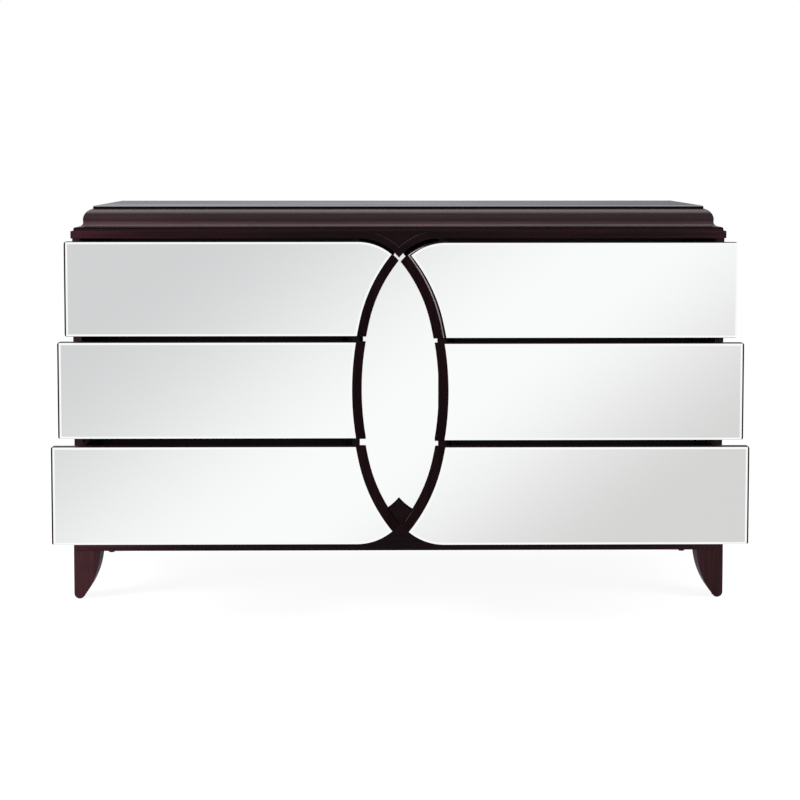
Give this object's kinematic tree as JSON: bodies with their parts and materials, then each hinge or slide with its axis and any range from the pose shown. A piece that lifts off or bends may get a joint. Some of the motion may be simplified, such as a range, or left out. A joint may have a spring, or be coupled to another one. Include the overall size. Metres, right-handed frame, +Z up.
{
  "type": "dresser",
  "caption": "Wide low dresser: bevelled mirror drawer fronts on either side of an almond of fixed mirror, with a dark wood cornice, curved aprons and short tapered legs.",
  "frame": {"origin": "on the floor, under the middle of the bounding box with the drawers as pictured", "axes": "+X to the right as seen from the front, +Y from the front to the back, +Z up"},
  "size_m": [1.524, 0.812, 0.922],
  "materials": {
    "espresso_wood": "gloss lacquer",
    "box_wood": "dark satin stain",
    "back_board": "matt painted fibreboard",
    "mirror_glass": "silvered glass",
    "slide_steel": "zinc plated",
    "screw_steel": "plated",
    "glide_nylon": "moulded nylon"
  },
  "bodies": {
    "case": {"top_panel": "espresso_wood", "cornice_front": "espresso_wood", "cornice_left": "espresso_wood", "cornice_right": "espresso_wood", "upper_apron": "espresso_wood", "apron_infill": "espresso_wood", "lower_apron": "espresso_wood", "side_panel_left": "espresso_wood", "side_panel_right": "espresso_wood", "partition_left": "espresso_wood", "partition_right": "espresso_wood", "sub_top": "espresso_wood", "case_bottom": "espresso_wood", "centre_mirror": "mirror_glass", "centre_panel": "espresso_wood", "bay_rails": "espresso_wood", "slide_rails": "slide_steel", "back_panel": "back_board", "back_screws": "screw_steel", "front_left_leg": "espresso_wood", "front_right_leg": "espresso_wood", "rear_legs": "espresso_wood", "base_rails": "espresso_wood", "leg_glides": "glide_nylon"},
    "top_left_drawer": {"top_left_front_board": "espresso_wood", "top_left_mirror": "mirror_glass", "top_left_arc_trim": "espresso_wood", "top_left_box_walls": "box_wood", "top_left_box_bottom": "box_wood", "top_left_runners": "slide_steel"},
    "top_right_drawer": {"top_right_front_board": "espresso_wood", "top_right_mirror": "mirror_glass", "top_right_arc_trim": "espresso_wood", "top_right_box_walls": "box_wood", "top_right_box_bottom": "box_wood", "top_right_runners": "slide_steel"},
    "middle_left_drawer": {"middle_left_front_board": "espresso_wood", "middle_left_mirror": "mirror_glass", "middle_left_arc_trim": "espresso_wood", "middle_left_box_walls": "box_wood", "middle_left_box_bottom": "box_wood", "middle_left_runners": "slide_steel"},
    "middle_right_drawer": {"middle_right_front_board": "espresso_wood", "middle_right_mirror": "mirror_glass", "middle_right_arc_trim": "espresso_wood", "middle_right_box_walls": "box_wood", "middle_right_box_bottom": "box_wood", "middle_right_runners": "slide_steel"},
    "bottom_left_drawer": {"bottom_left_front_board": "espresso_wood", "bottom_left_mirror": "mirror_glass", "bottom_left_arc_trim": "espresso_wood", "bottom_left_box_walls": "box_wood", "bottom_left_box_bottom": "box_wood", "bottom_left_runners": "slide_steel"},
    "bottom_right_drawer": {"bottom_right_front_board": "espresso_wood", "bottom_right_mirror": "mirror_glass", "bottom_right_arc_trim": "espresso_wood", "bottom_right_box_walls": "box_wood", "bottom_right_box_bottom": "box_wood", "bottom_right_runners": "slide_steel"}
  },
  "joints": [
    {"name": "top_left_slide", "type": "slide", "parent": "case", "child": "top_left_drawer", "axis": [0, -1, 0], "range_m": [-0.11, 0.24]},
    {"name": "top_right_slide", "type": "slide", "parent": "case", "child": "top_right_drawer", "axis": [0, -1, 0], "range_m": [-0.153, 0.197]},
    {"name": "middle_left_slide", "type": "slide", "parent": "case", "child": "middle_left_drawer", "axis": [0, -1, 0], "range_m": [-0.205, 0.145]},
    {"name": "middle_right_slide", "type": "slide", "parent": "case", "child": "middle_right_drawer", "axis": [0, -1, 0], "range_m": [-0.234, 0.116]},
    {"name": "bottom_left_slide", "type": "slide", "parent": "case", "child": "bottom_left_drawer", "axis": [0, -1, 0], "range_m": [-0.294, 0.056]},
    {"name": "bottom_right_slide", "type": "slide", "parent": "case", "child": "bottom_right_drawer", "axis": [0, -1, 0], "range_m": [-0.302, 0.048]}
  ]
}
